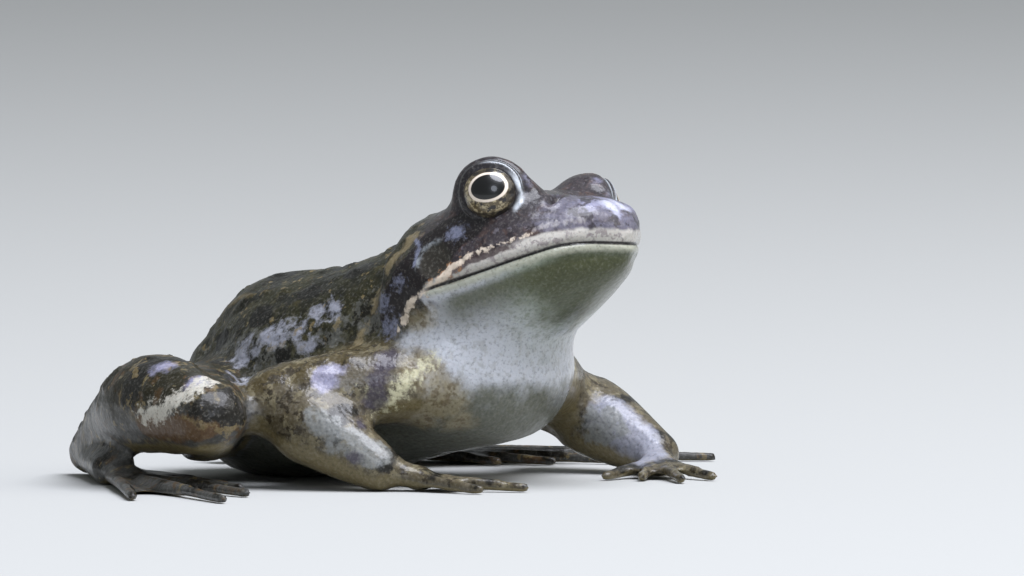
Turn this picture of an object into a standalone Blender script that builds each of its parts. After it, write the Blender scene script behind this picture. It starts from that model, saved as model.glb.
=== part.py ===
"""Life-size still model of an adult common frog, sitting with the head raised.

The frog faces -Y, its right side is -X, and it rests on the plane Z = 0.
Every length below is in millimetres and becomes metres when a mesh is made.
"""
import math

import bmesh
import bpy
import numpy as np
from mathutils import Matrix, Vector

MM = 0.001
GAP = 0.3                      # clear space between two touching pieces

# head
SNOUT_Y = -34.4                # foremost point of the muzzle
JAW_HALF_WIDTH = 13.0          # half the head's width at the corners of the mouth
JAW_ROUNDING = 20.0            # length over which the rounded muzzle reaches that width
MUZZLE_POINT = 1.3             # 1 is an elliptical muzzle and more is a more pointed one
LIP_TIP_Z = 26.8               # height of the mouth line at the tip of the muzzle
CHIN_SLOPE = 0.78              # how fast the throat drops behind the chin
EYE_RADIUS = 3.35
EYE_RIGHT = (-8.3, -20.7, 31.7)    # centres of the eyeballs; the head is turned a little
EYE_LEFT = (8.3, -22.3, 30.3)      # to its right, and the left eye is held lower
LID = 1.05                     # thickness of the flesh round the eyeball
HEAD_ROLL = 3.5                # degrees, the right side of the head carried higher
ROLL_AXIS_Z = 22.0

# trunk
CHEST_Y = -23.0
VENT_Y = 25.6
BODY_VOXEL = 0.55              # grain at which head and trunk are merged
BODY_TRIANGLES = 4100
FAR = 40.0                     # reach of a cutter past the whole body
CREASE = 38.0                  # degrees between faces past which an edge is drawn sharp

# limbs, as joint positions of each side (x is outward from the middle of the body)
HIP = (6.0, 17.6, 7.4)
KNEE = (32.6, -0.6, 8.3)
HEEL = (13.4, 29.4, 2.5)
TARSUS_END = (26.4, 17.4, 1.8)
FOOT_HEADING = 31.0            # degrees outward from straight ahead
FOURTH_TOE = 36.0              # length of the longest toe from the tarsus
SHOULDER = (10.2, -13.6, 11.6)
ELBOW_RIGHT = (20.8, -0.8, 9.2)
WRIST_RIGHT = (18.6, -13.3, 2.5)
ELBOW_LEFT = (24.6, -7.0, 7.8)
WRIST_LEFT = (22.4, -21.6, 2.3)
HAND_HEADING_RIGHT = 32.0      # degrees inward from straight ahead
HAND_HEADING_LEFT = 52.0
THIRD_FINGER = 13.5            # length of the longest finger from the wrist
UPPER_ARM_RADII = (4.7, 4.3, 4.1)   # at the shoulder, midway and at the elbow
FOREARM_RADII = (3.5, 4.5, 2.7)     # at the elbow, at the swell and at the wrist
THIGH_RADII = (5.4, 5.4, 4.1)       # at the hip, midway and at the knee
SHANK_RADII = (4.2, 5.5, 3.9, 2.4)  # at the knee, at the calf, low down and at the heel
TARSUS_RADII = (2.2, 1.9)           # at its heel end and at its toe end
PALM_RADII = (1.9, 2.0)             # at the wrist and at the fingers
SOLE_RADII = (1.7, 1.75)
FINGER_RADII = (0.95, 0.62)         # at the root and at the tip
TOE_RADII = (0.9, 0.6)
PALM_LENGTH = 4.2
SOLE_LENGTH = 6.0
TOE_ROOT = 3.0                 # distance of the toes' roots past the end of the tarsus
WEB_SHARE = 0.72               # how far out along a toe its web can reach
WEB_HOLLOW = 0.30              # how deep the free edge of the web is cut in

# most triangles in each kind of piece
TRIANGLES = {
    "head": 1850, "lower_jaw": 430, "trunk": 1640, "eye": 290,
    "upper_arm": 310, "forearm": 230, "hand": 490,
    "thigh": 330, "shank": 310, "tarsus": 165, "foot": 750,
}

SINK = 0.12                    # how far the resting parts would dip, now trimmed to flats
WEB_LOW = 0.15
WEB_THICK = 0.6
# each digit: how far it turns from the heading toward the middle of the body, in degrees,
# and its length as a share of the longest
FINGERS = ((40, 0.70), (14, 0.68), (-8, 1.0), (-33, 0.76))
TOES = ((34, 0.36), (22, 0.52), (10, 0.74), (-3, 1.0), (-18, 0.78))
ARMS = (
    (-1, "right", ELBOW_RIGHT, WRIST_RIGHT, HAND_HEADING_RIGHT),
    (1, "left", ELBOW_LEFT, WRIST_LEFT, HAND_HEADING_LEFT),
)

SKIN_BROWN = (0.17, 0.13, 0.09, 1.0)
SKIN_PALE = (0.55, 0.54, 0.50, 1.0)
EYE_GOLD = (0.32, 0.22, 0.07, 1.0)


# ------------------------------------------------------------------ tools

def clear_scene():
    for item in list(bpy.data.objects):
        bpy.data.objects.remove(item, do_unlink=True)


def make_collection(name):
    made = bpy.data.collections.new(name)
    bpy.context.scene.collection.children.link(made)
    return made


def make_material(name, colour, roughness):
    made = bpy.data.materials.new(name)
    made.use_nodes = True
    shader = made.node_tree.nodes["Principled BSDF"]
    shader.inputs["Base Color"].default_value = colour
    shader.inputs["Roughness"].default_value = roughness
    return made


def make_object(name, points, faces):
    """A mesh object from points in millimetres, with its faces turned outward."""
    mesh = bpy.data.meshes.new(name)
    mesh.from_pydata([tuple(float(c) * MM for c in p) for p in points], [], faces)
    mesh.update()
    made = bpy.data.objects.new(name, mesh)
    bpy.context.scene.collection.objects.link(made)
    turn_outward(made)
    return made


def turn_outward(item):
    work = bmesh.new()
    work.from_mesh(item.data)
    bmesh.ops.recalc_face_normals(work, faces=work.faces)
    work.to_mesh(item.data)
    work.free()


def apply_modifiers(item):
    bpy.context.view_layer.update()
    graph = bpy.context.evaluated_depsgraph_get()
    baked = bpy.data.meshes.new_from_object(item.evaluated_get(graph))
    item.modifiers.clear()
    item.data = baked


def add_modifier(item, kind, **settings):
    made = item.modifiers.new(kind.title(), kind)
    for key, value in settings.items():
        setattr(made, key, value)
    return made


def combine(item, other, operation):
    """Union, difference or intersection of two closed solids; the other one stays."""
    add_modifier(item, "BOOLEAN", object=other, operation=operation, solver="EXACT")
    apply_modifiers(item)


def discard(*items):
    for item in items:
        bpy.data.objects.remove(item, do_unlink=True)


def copy_of(item, name):
    made = item.copy()
    made.data = item.data.copy()
    made.name = name
    bpy.context.scene.collection.objects.link(made)
    return made


def swollen(item, amount):
    """A copy grown outward by the given amount."""
    made = copy_of(item, item.name + "_swollen")
    add_modifier(made, "DISPLACE", strength=amount * MM, mid_level=0.0)
    apply_modifiers(made)
    return made


def carve(item, *neighbours):
    """Take each neighbour, with the gap round it, out of the item."""
    for neighbour in neighbours:
        cutter = swollen(neighbour, GAP)
        combine(item, cutter, "DIFFERENCE")
        discard(cutter)


def block(name, low, high):
    low = Vector(low) * MM
    high = Vector(high) * MM
    bpy.ops.mesh.primitive_cube_add(size=1.0)
    made = bpy.context.object
    made.name = name
    size = Matrix.Diagonal((*(high - low), 1.0))
    made.data.transform(Matrix.Translation((low + high) / 2.0) @ size)
    return made


def plate(name, outline, thickness):
    """A flat outline in X and Y, thickened evenly to both sides of Z = 0."""
    flat = bpy.data.curves.new(name, "CURVE")
    flat.dimensions = "2D"
    flat.fill_mode = "BOTH"
    flat.extrude = 0.5 * thickness * MM
    line = flat.splines.new("POLY")
    line.points.add(len(outline) - 1)
    for point, (a, b) in zip(line.points, outline):
        point.co = (a * MM, b * MM, 0.0, 1.0)
    line.use_cyclic_u = True
    holder = bpy.data.objects.new(name + "_outline", flat)
    bpy.context.scene.collection.objects.link(holder)
    bpy.context.view_layer.update()
    graph = bpy.context.evaluated_depsgraph_get()
    mesh = bpy.data.meshes.new_from_object(holder.evaluated_get(graph))
    discard(holder)
    work = bmesh.new()
    work.from_mesh(mesh)
    bmesh.ops.remove_doubles(work, verts=work.verts, dist=0.000001)
    work.to_mesh(mesh)
    work.free()
    made = bpy.data.objects.new(name, mesh)
    bpy.context.scene.collection.objects.link(made)
    turn_outward(made)
    return made


def prism(name, outline):
    """A solid of one side-view outline, given as (y, z) points, across the whole body."""
    made = plate(name, outline, 2.0 * FAR)
    upright = Matrix(((0, 0, 1, 0), (1, 0, 0, 0), (0, 1, 0, 0), (0, 0, 0, 1)))
    made.data.transform(upright)
    return made


def eased(keys, at):
    """A smooth curve through (position, value) pairs, read at the given positions."""
    xs = np.array([k[0] for k in keys], float)
    ys = np.array([k[1] for k in keys], float)
    slopes = np.gradient(ys, xs)
    at = np.clip(np.asarray(at, float), xs[0], xs[-1])
    i = np.clip(np.searchsorted(xs, at) - 1, 0, len(xs) - 2)
    span = xs[i + 1] - xs[i]
    t = (at - xs[i]) / span
    rise = ys[i] * (2 * t**3 - 3 * t**2 + 1) + ys[i + 1] * (3 * t**2 - 2 * t**3)
    return rise + span * (slopes[i] * (t**3 - 2 * t**2 + t) + slopes[i + 1] * (t**3 - t**2))


def rounding(distance, length):
    """Grows from 0 to 1 like the end of an ellipse of the given length."""
    part = np.clip(np.asarray(distance, float) / length, 0.0, 1.0)
    return np.sqrt(part * (2.0 - part))


def loft(name, rings):
    """A closed skin over rings of points, with a point at the middle of each end."""
    count = len(rings[0])
    points = [p for ring in rings for p in ring]
    faces = []
    for r in range(len(rings) - 1):
        for i in range(count):
            j = (i + 1) % count
            a, b = r * count, (r + 1) * count
            faces.append((a + i, a + j, b + j, b + i))
    first, last = len(points), len(points) + 1
    points.append(np.mean(rings[0], axis=0))
    points.append(np.mean(rings[-1], axis=0))
    base = (len(rings) - 1) * count
    for i in range(count):
        j = (i + 1) % count
        faces.append((first, j, i))
        faces.append((last, base + i, base + j))
    return make_object(name, points, faces)


def section(y, middle_z, half_width, top, bottom, upper_power, lower_power, count):
    """One upright cross-section of the body: two half superellipses that share their width."""
    ring = []
    for i in range(count):
        angle = 2.0 * math.pi * i / count
        c, s = math.cos(angle), math.sin(angle)
        power = upper_power if s >= 0 else lower_power
        height = top - middle_z if s >= 0 else middle_z - bottom
        x = half_width * math.copysign(abs(c) ** (2.0 / power), c)
        z = middle_z + height * math.copysign(abs(s) ** (2.0 / power), s)
        ring.append((x, y, z))
    return ring


def limb(name, joints, radii, sides=14, steps=5, flat=1.0):
    """A round-ended limb through joints with a radius at each; flat squashes its height."""
    joints = np.array(joints, float)
    keys = np.arange(len(joints), dtype=float)
    at = np.linspace(0.0, keys[-1], steps * (len(joints) - 1) + 1)
    line = np.stack([eased(list(zip(keys, joints[:, k])), at) for k in range(3)], axis=1)
    sizes = eased(list(zip(keys, radii)), at)
    ahead = np.gradient(line, axis=0)
    ahead /= np.linalg.norm(ahead, axis=1)[:, None]
    cap = [math.radians(a) for a in (20, 45, 70)]
    stops = [(line[0] - ahead[0] * sizes[0] * math.cos(a), ahead[0], sizes[0] * math.sin(a)) for a in cap]
    stops += [(line[i], ahead[i], sizes[i]) for i in range(len(line))]
    stops += [(line[-1] + ahead[-1] * sizes[-1] * math.cos(a), ahead[-1], sizes[-1] * math.sin(a))
              for a in reversed(cap)]
    rings = []
    for centre, direction, size in stops:
        side = np.cross(direction, (0.0, 0.0, 1.0))
        side /= np.linalg.norm(side)
        up = np.cross(side, direction)
        turn = [2.0 * math.pi * i / sides for i in range(sides)]
        rings.append([centre + size * (math.cos(a) * side + flat * math.sin(a) * up) for a in turn])
    return loft(name, rings)


def mirrored(point, side):
    return (point[0] * side, point[1], point[2])


def eye_centre(side):
    return EYE_LEFT if side > 0 else EYE_RIGHT


def ball(name, centre, radii, segments=24, rings=16):
    bpy.ops.mesh.primitive_uv_sphere_add(segments=segments, ring_count=rings, radius=1.0)
    made = bpy.context.object
    made.name = name
    size = Matrix.Diagonal((*[r * MM for r in radii], 1.0))
    made.data.transform(Matrix.Translation(Vector(centre) * MM) @ size)
    return made


# ------------------------------------------------------------------ head and trunk

def roll(item):
    """Tilt a piece of the head sideways about the body's long axis."""
    pivot = Matrix.Translation((0.0, 0.0, ROLL_AXIS_Z * MM))
    item.data.transform(pivot @ Matrix.Rotation(math.radians(HEAD_ROLL), 4, "Y") @ pivot.inverted())
    return item


def mouth_line(y):
    """Height of the closed mouth at a distance along the body."""
    keys = [(SNOUT_Y, LIP_TIP_Z), (-31.5, 26.8), (-29.5, 26.4), (-26.5, 25.1), (-22.5, 23.4),
            (-18.5, 22.0), (-15.8, 20.9), (-12.0, 19.6), (-6.0, 18.6)]
    return eased(keys, y)


def head_rings(count):
    rings = []
    for y in SNOUT_Y + 29.0 * (1.0 - np.cos(np.linspace(0.09, 1.45, 30))):
        behind = y - SNOUT_Y
        width = JAW_HALF_WIDTH * float(rounding(behind, JAW_ROUNDING)) ** MUZZLE_POINT
        lip = float(mouth_line(y))
        crown = float(eased([(0, 4.6), (7, 6.3), (13, 9.4), (19, 10.8), (23, 10.4), (29, 9.4)], behind))
        top = lip + crown * float(rounding(behind, 7.0))
        chin = LIP_TIP_Z - 3.0 * float(rounding(behind, 2.2)) - CHIN_SLOPE * max(0.0, behind - 1.6)
        rings.append(section(y, lip, width, top, min(chin, lip - 0.3), 2.5, 1.9, count))
    return rings


def trunk_rings(count):
    tops = [(-23, 19), (-18, 25.5), (-13, 28.6), (-8, 27.6), (-3, 25.4), (2, 23.7), (9, 22.7), (14, 22.0),
            (16.5, 20.8), (19, 18.2), (22, 14.6), (26, 11.0)]
    bottoms = [(-23, 8.5), (-20, 5.6), (-16, 4.3), (-9, 3.0), (-2, 1.4), (5, 0.2), (12, -0.3), (17, 0.1),
               (22, 2.2), (27, 5.5)]
    widths = [(-23, 8), (-19, 10.4), (-14, 12.4), (-8, 13.2), (-2, 14.6), (4, 15.4), (9, 14.2), (13, 11.6),
              (17, 8.6), (21, 6.8), (26, 5.0)]
    middles = [(-23, 13), (-12, 13.2), (-4, 11.5), (4, 9.5), (14, 8.6), (27, 9)]
    rings = []
    for y in np.linspace(CHEST_Y + 0.05, VENT_Y - 0.05, 44):
        close = float(rounding(y - CHEST_Y, 5.0) * rounding(VENT_Y - y, 7.0))
        middle = float(eased(middles, y))
        top = middle + (float(eased(tops, y)) - middle) * close
        bottom = middle + (float(eased(bottoms, y)) - middle) * close
        rings.append(section(y, middle, float(eased(widths, y)) * close, top, bottom, 2.1, 2.2, count))
    return rings


def make_body():
    """Head and trunk as one smooth mass."""
    body = roll(loft("body", head_rings(48)))
    extra = [loft("trunk_mass", trunk_rings(48))]
    for side in (-1, 1):
        x, y, z = eye_centre(side)
        grown = EYE_RADIUS + LID
        extra.append(roll(ball("brow", (x - 0.2 * side, y + 0.1, z - 0.2), (grown, grown + 0.3, grown))))
        extra.append(roll(ball("orbit", (x - 2.2 * side, y + 0.4, z - 1.6), (4.6, 6.0, 4.2))))
        extra.append(roll(ball("jaw_angle", (side * 9.6, -14.5, 21.5), (4.2, 5.0, 4.6))))
        extra.append(ball("shoulder_mass", mirrored((7.6, -13.0, 12.5), side), (6.2, 7.0, 7.2)))
        extra.append(ball("hip_mass", mirrored((4.6, 15.6, 9.6), side), (4.6, 7.0, 6.8)))
    for item in extra:
        join_into(body, item)
    add_modifier(body, "REMESH", mode="VOXEL", voxel_size=BODY_VOXEL * MM)
    add_modifier(body, "SMOOTH", factor=0.5, iterations=9)
    apply_modifiers(body)
    thin_out(body, BODY_TRIANGLES)
    return body


def join_into(target, item):
    work = bmesh.new()
    work.from_mesh(target.data)
    work.from_mesh(item.data)
    work.to_mesh(target.data)
    work.free()
    discard(item)


def thin_out(item, triangles):
    """Fewer, larger triangles where the surface is calm."""
    work = bmesh.new()
    work.from_mesh(item.data)
    bmesh.ops.triangulate(work, faces=work.faces)
    work.to_mesh(item.data)
    work.free()
    now = len(item.data.polygons)
    if now > triangles:
        add_modifier(item, "DECIMATE", ratio=triangles / now, use_collapse_triangulate=True)
        apply_modifiers(item)


def part_body(body):
    """Cut the mass at the nape and along the mouth into trunk, head and lower jaw."""
    nape = [(-6.6, FAR), (-6.6, 29.5), (-21.6, 14.4), (-23.6, 13.0), (-60, 13.0), (-60, FAR)]
    front = prism("front", nape)
    trunk = copy_of(body, "trunk")
    combine(trunk, front, "DIFFERENCE")
    # moved at 45 degrees, across the slanting cut, so the space is the gap
    shift = GAP * math.sqrt(0.5)
    moved = prism("front_moved", [(y - shift, z + shift) for y, z in nape])
    head = copy_of(body, "head")
    combine(head, moved, "INTERSECT")
    ys = np.linspace(-45, -4, 28)
    line = [(float(y), float(mouth_line(y))) for y in ys]
    below = roll(prism("below", line + [(-4, 0), (-45, 0)]))
    lower = roll(prism("lower", [(y, z - GAP) for y, z in line] + [(-4, -1), (-45, -1)]))
    jaw = copy_of(head, "lower_jaw")
    combine(jaw, lower, "INTERSECT")
    combine(head, below, "DIFFERENCE")
    discard(front, moved, below, lower, body)
    return trunk, head, jaw


def make_eyes(head):
    eyes = []
    for side, word in ((-1, "right"), (1, "left")):
        centre = eye_centre(side)
        socket = roll(ball("socket", centre, [EYE_RADIUS + GAP] * 3, 20, 14))
        combine(head, socket, "DIFFERENCE")
        outer = np.array(centre) + (6.0 * side, -3.0, 0.6)
        opening = roll(limb("opening", [centre, outer], [2.7, 3.1], sides=18, steps=1))
        combine(head, opening, "DIFFERENCE")
        discard(socket, opening)
        eyes.append(roll(ball("eye_" + word, centre, [EYE_RADIUS] * 3, 18, 10)))
    return eyes


# ------------------------------------------------------------------ limbs

def turned(heading, side):
    """The level direction at a heading in degrees outward from straight ahead."""
    angle = math.radians(heading)
    return np.array((side * math.sin(angle), -math.cos(angle), 0.0))


def join_all(pieces):
    """One solid from overlapping solids."""
    whole = pieces[0]
    for piece in pieces[1:]:
        combine(whole, piece, "UNION")
        discard(piece)
    return whole


def digit(name, start, direction, length, thick, thin, lift):
    """A finger or toe that lies on the floor, with its start raised by the lift."""
    start = np.array(start, float)
    ends = start + direction * length
    middle = start + direction * length * 0.45
    joints = [(start[0], start[1], thick + lift), (middle[0], middle[1], thick + 0.35 * lift),
              (ends[0], ends[1], thin - SINK)]
    return limb(name, joints, [thick, 0.5 * (thick + thin), thin], sides=8, steps=3)


def make_arm(side, word, elbow, wrist, trunk):
    shoulder = mirrored(SHOULDER, side)
    elbow = mirrored(elbow, side)
    wrist = mirrored(wrist, side)
    middle = np.array(shoulder) * 0.45 + np.array(elbow) * 0.55 + (0, 0, 0.5)
    upper = limb("upper_arm_" + word, [shoulder, middle, elbow], UPPER_ARM_RADII)
    carve(upper, trunk)
    swell = np.array(elbow) * 0.62 + np.array(wrist) * 0.38 + (0, 0, 0.2)
    fore = limb("forearm_" + word, [elbow, swell, wrist], FOREARM_RADII)
    carve(fore, upper, trunk)
    return upper, fore


def make_hand(side, word, wrist, heading, forearm):
    """Palm and four free fingers, turned inward."""
    wrist = np.array(mirrored(wrist, side))
    ahead = turned(-heading, side)
    palm_end = wrist + ahead * PALM_LENGTH
    palm_end[2] = 1.5
    palm = limb("hand_" + word, [wrist + ahead * 0.6, palm_end], PALM_RADII, sides=12, steps=3, flat=0.75)
    pieces = [palm]
    for spread, share in FINGERS:
        start = wrist + ahead * 2.6
        aim = turned(-heading - spread, side)
        pieces.append(digit("finger", start, aim, THIRD_FINGER * share, *FINGER_RADII, 0.5))
    hand = join_all(pieces)
    carve(hand, forearm)
    return hand


def make_leg(side, word, trunk, upper_arm):
    hip, knee, heel = (mirrored(p, side) for p in (HIP, KNEE, HEEL))
    end = mirrored(TARSUS_END, side)
    thigh_middle = np.array(hip) * 0.5 + np.array(knee) * 0.5 + (side * 0.6, 1.0, 0.0)
    thigh = limb("thigh_" + word, [hip, thigh_middle, knee], THIGH_RADII)
    calf = np.array(knee) * 0.64 + np.array(heel) * 0.36 + (side * 1.0, 0.6, 2.9)
    low = np.array(knee) * 0.3 + np.array(heel) * 0.7 + (side * 0.6, 0.0, 2.4)
    shank = limb("shank_" + word, [knee, calf, low, heel], SHANK_RADII)
    divide(thigh, shank, knee, np.array(hip) - knee, np.array(heel) - knee, side)
    carve(thigh, trunk, upper_arm)
    carve(shank, trunk)
    tarsus = limb("tarsus_" + word, [heel, end], TARSUS_RADII, sides=12, steps=4)
    carve(tarsus, shank)
    return thigh, shank, tarsus


def divide(inner, outer, corner, inner_way, outer_way, side):
    """Flatten two folded limb parts against each other on the upright plane halfway between them."""
    inner_way = inner_way[:2] / np.linalg.norm(inner_way[:2])
    outer_way = outer_way[:2] / np.linalg.norm(outer_way[:2])
    along = inner_way + outer_way
    turn = math.atan2(along[1], along[0])
    for item, part in ((inner, 1), (outer, -1)):
        wall = block("wall", (-80, 0.5 * GAP, -80), (80, 80, 80))
        # the inner limb lies on one side of the plane and the outer limb on the other
        flip = math.pi if part * side < 0 else 0.0
        spin = Matrix.Rotation(turn + flip, 4, "Z")
        wall.data.transform(Matrix.Translation(Vector(corner) * MM) @ spin)
        combine(item, wall, "INTERSECT")
        discard(wall)


def make_foot(side, word, tarsus):
    """Five spread toes on a short sole, joined by a web for part of their length."""
    end = np.array(mirrored(TARSUS_END, side))
    ahead = turned(FOOT_HEADING, side)
    sole_end = end + ahead * SOLE_LENGTH
    sole_end[2] = 1.3
    sole = limb("foot_" + word, [end + ahead * 1.2, sole_end], SOLE_RADII, sides=12, steps=3, flat=0.7)
    pieces = [sole]
    across = turned(FOOT_HEADING - 90.0, side)
    reach = []
    for spread, share in TOES:
        root = end + ahead * TOE_ROOT + across * spread * 0.05
        aim = turned(FOOT_HEADING - spread, side)
        length = (FOURTH_TOE - TOE_ROOT) * share
        reach.append((root, aim, length))
        pieces.append(digit("toe", root, aim, length, *TOE_RADII, 0.25))
    pieces.append(web(end + ahead * 2.0, reach))
    foot = join_all(pieces)
    carve(foot, tarsus)
    return foot


def web(heel_side, toes):
    """The thin skin between the toes, one plate with a hollow free edge in each gap."""
    outline = [heel_side]
    for (root_a, aim_a, length_a), (root_b, aim_b, length_b) in zip(toes, toes[1:]):
        shorter = min(length_a, length_b)
        far_a = aim_a * min(length_a * WEB_SHARE, shorter)
        far_b = aim_b * min(length_b * WEB_SHARE, shorter)
        for t in np.linspace(0.0, 1.0, 6):
            hollow = 1.0 - WEB_HOLLOW * math.sin(math.pi * t)
            outline.append((root_a + far_a * hollow) * (1 - t) + (root_b + far_b * hollow) * t)
    made = plate("web", [(p[0], p[1]) for p in outline], WEB_THICK)
    made.data.transform(Matrix.Translation((0.0, 0.0, (WEB_LOW + 0.5 * WEB_THICK) * MM)))
    return made


def stand_on_floor(pieces):
    """Trim what dips under the floor, which leaves the small flats it rests on."""
    under = block("under", (-90, -90, -30), (90, 90, 0))
    for item in pieces:
        if min(v.co.z for v in item.data.vertices) < 0.0:
            combine(item, under, "DIFFERENCE")
    discard(under)


def centre_on_origin(pieces):
    """Shift everything level, so the middle of the whole outline is over the origin."""
    points = np.array([v.co[:] for item in pieces for v in item.data.vertices])
    middle = 0.5 * (points.min(axis=0) + points.max(axis=0))
    for item in pieces:
        item.data.transform(Matrix.Translation((-middle[0], -middle[1], 0.0)))


def build():
    clear_scene()
    collection = make_collection("common_frog_model")
    body = make_body()
    trunk, head, jaw = part_body(body)
    eyes = make_eyes(head)
    pieces = [trunk, head, jaw, *eyes]
    for side, word, elbow, wrist, heading in ARMS:
        upper, fore = make_arm(side, word, elbow, wrist, trunk)
        hand = make_hand(side, word, wrist, heading, fore)
        thigh, shank, tarsus = make_leg(side, word, trunk, upper)
        foot = make_foot(side, word, tarsus)
        pieces += [upper, fore, hand, thigh, shank, tarsus, foot]
    for item in pieces:
        kind = item.name.rsplit("_", 1)[0] if item.name.endswith(("_right", "_left")) else item.name
        thin_out(item, TRIANGLES[kind])
    stand_on_floor(pieces)
    centre_on_origin(pieces)
    for item in pieces:
        if item in eyes:
            material = make_material(item.name, EYE_GOLD, 0.1)
        elif item is jaw:
            material = make_material(item.name, SKIN_PALE, 0.4)
        else:
            material = make_material(item.name, SKIN_BROWN, 0.35)
        item.data.materials.clear()
        item.data.materials.append(material)
        item.data.shade_smooth()
        item.data.set_sharp_from_angle(angle=math.radians(CREASE))
        for owner in list(item.users_collection):
            owner.objects.unlink(item)
        collection.objects.link(item)


build()
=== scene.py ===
# %% [markdown]
# A common frog sits with its head raised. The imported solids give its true
# outline, piece by piece. Here one moist skin is drawn over all of them, the
# eyes are set in, and a plain studio is put round it. The frog faces -Y and
# its right side is -X.

import math

import bmesh
import bpy
import numpy as np
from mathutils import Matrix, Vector, noise
from mathutils.bvhtree import BVHTree


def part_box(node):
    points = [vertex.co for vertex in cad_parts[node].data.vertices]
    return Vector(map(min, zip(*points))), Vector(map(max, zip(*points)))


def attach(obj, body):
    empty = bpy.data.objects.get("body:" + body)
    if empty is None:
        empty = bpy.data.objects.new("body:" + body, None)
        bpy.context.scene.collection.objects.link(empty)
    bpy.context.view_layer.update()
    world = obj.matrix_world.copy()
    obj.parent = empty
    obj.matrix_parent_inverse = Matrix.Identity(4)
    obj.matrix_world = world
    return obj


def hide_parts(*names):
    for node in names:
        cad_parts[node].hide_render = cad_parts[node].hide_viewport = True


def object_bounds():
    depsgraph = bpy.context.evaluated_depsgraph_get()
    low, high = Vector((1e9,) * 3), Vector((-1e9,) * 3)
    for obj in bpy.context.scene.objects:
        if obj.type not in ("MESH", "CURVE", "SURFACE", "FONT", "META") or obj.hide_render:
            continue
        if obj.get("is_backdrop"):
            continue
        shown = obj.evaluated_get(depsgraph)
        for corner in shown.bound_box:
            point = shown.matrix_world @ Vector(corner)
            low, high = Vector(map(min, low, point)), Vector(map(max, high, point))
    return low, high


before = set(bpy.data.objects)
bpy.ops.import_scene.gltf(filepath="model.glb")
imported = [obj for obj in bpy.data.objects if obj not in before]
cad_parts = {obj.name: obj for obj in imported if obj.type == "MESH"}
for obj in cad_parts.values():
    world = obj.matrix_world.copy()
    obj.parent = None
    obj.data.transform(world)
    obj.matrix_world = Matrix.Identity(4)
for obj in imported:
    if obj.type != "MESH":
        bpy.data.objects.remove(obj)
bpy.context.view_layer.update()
bpy.ops.object.select_all(action="DESELECT")
MM = 0.001
FLESH = [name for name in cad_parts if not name.startswith("eye_")]
print("flesh nodes:", len(FLESH))

# %% [markdown]
# Every place on the frog is measured from the tip of its muzzle: x to its left,
# b backward along the body and z up, all in millimetres. The head is carried a
# little tilted, its right side higher, so head features are placed in a level
# head, on its left half, and hold for both halves.

# %% Measure the eyes and the tilt of the head
def middle_of(node):
    low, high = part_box(node)
    return np.array((low + high) / 2.0) / MM


muzzle_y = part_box("head")[0].y / MM
eye_right, eye_left = middle_of("eye_right"), middle_of("eye_left")
EYE_R = (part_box("eye_right")[1].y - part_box("eye_right")[0].y) / 2.0 / MM
tilt = math.radians(3.5)
TILT_AXIS_Z = 22.0


def body_place(points):
    """Row coordinates in metres to (x, b, z) in millimetres."""
    return np.asarray(points, float) / MM - np.array((0.0, muzzle_y, 0.0))


def level_head(place):
    """Undo the tilt of the head, so that both of its sides match."""
    x, z = place[:, 0], place[:, 2] - TILT_AXIS_Z
    c, s = math.cos(tilt), math.sin(tilt)
    return np.stack([c * x - s * z, place[:, 1], s * x + c * z + TILT_AXIS_Z], axis=1)


def tilted_way(way):
    """A direction of the level head, turned with the head's tilt."""
    c, s = math.cos(tilt), math.sin(tilt)
    return np.array((c * way[0] + s * way[2], way[1], -s * way[0] + c * way[2]))


EYE = {side: level_head(np.array([centre]) - (0.0, muzzle_y, 0.0))[0]
       for side, centre in ((-1, eye_right), (1, eye_left))}
print("eye radius %.2f mm, right eye at %s, left at %s" % (EYE_R, np.round(EYE[-1], 1), np.round(EYE[1], 1)))

# %% [markdown]
# Skin is one sheet over the whole animal. It could be shrink-wrapped, but that
# leaves the cuts between the solids open. Remeshing copies of the solids,
# swollen just enough to close those cuts and later drawn back in, gives one
# closed surface with soft creases where one part meets the next. The sockets
# are filled first, so the lids can be drawn on a whole surface.

# %% Join the solids into one skin
SWELL = 0.32
VOXEL = 0.56


def apply_modifier(item, kind, **settings):
    bpy.ops.object.select_all(action="DESELECT")
    bpy.context.view_layer.objects.active = item
    item.select_set(True)
    made = item.modifiers.new(kind.title(), kind)
    for key, value in settings.items():
        setattr(made, key, value)
    bpy.ops.object.modifier_apply(modifier=made.name)


def join_flesh():
    """All flesh solids in one mesh, each swollen; also which solid each face is of."""
    work = bmesh.new()
    owner = []
    for index, name in enumerate(FLESH):
        part = bmesh.new()
        part.from_mesh(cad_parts[name].data)
        bmesh.ops.remove_doubles(part, verts=part.verts, dist=0.000001)
        part.normal_update()
        for v in part.verts:
            v.co += v.normal * SWELL * MM
        mesh = bpy.data.meshes.new(name + "_copy")
        part.to_mesh(mesh)
        part.free()
        work.from_mesh(mesh)
        owner += [index] * len(mesh.polygons)
        bpy.data.meshes.remove(mesh)
    work.faces.ensure_lookup_table()
    tree = BVHTree.FromBMesh(work)
    for centre in (eye_right, eye_left):
        made = bmesh.ops.create_icosphere(work, subdivisions=4, radius=(EYE_R + 0.1) * MM)
        bmesh.ops.translate(work, verts=made["verts"], vec=Vector(centre) * MM)
    mesh = bpy.data.meshes.new("skin")
    work.to_mesh(mesh)
    work.free()
    item = bpy.data.objects.new("skin", mesh)
    bpy.context.scene.collection.objects.link(item)
    return item, tree, np.array(owner)


skin, flesh_tree, face_owner = join_flesh()
apply_modifier(skin, "REMESH", mode="VOXEL", voxel_size=VOXEL * MM)
print("skin faces:", len(skin.data.polygons))

# %% [markdown]
# Small features need small faces. The whole skin could be made fine, but the
# eye looks hardest at the head, so only the head is subdivided, and the lids
# and the lips once more.

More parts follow.
